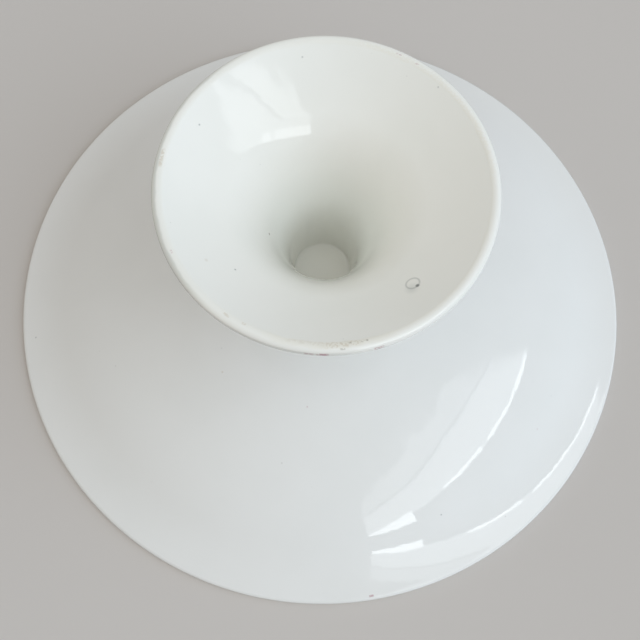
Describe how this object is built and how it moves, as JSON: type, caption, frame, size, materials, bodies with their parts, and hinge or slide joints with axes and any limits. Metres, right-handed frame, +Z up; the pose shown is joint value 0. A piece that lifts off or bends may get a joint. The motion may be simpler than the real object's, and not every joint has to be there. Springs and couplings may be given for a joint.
{
  "type": "compote dish",
  "caption": "White glazed pottery compote: a shallow round bowl with a turned-out rim on a hollow trumpet foot, lying upside down on its rim.",
  "frame": {"origin": "centre of the rim's resting face; the dish lies upside down on its rim, as it was pictured", "axes": "+Z up along the dish's axis, from the rim to the foot's ring; X and Y are free, because the dish is round. Half a turn about X stands it on its foot, with the foot's ring as the base"},
  "size_m": [0.24, 0.24, 0.1059],
  "materials": {
    "glaze": "clear glossy glaze over a white body",
    "slip": "glaze pooled over a soft fillet of slip"
  },
  "bodies": {
    "root": {"bowl": "glaze", "foot": "glaze", "luting_slip": "slip"}
  },
  "joints": []
}
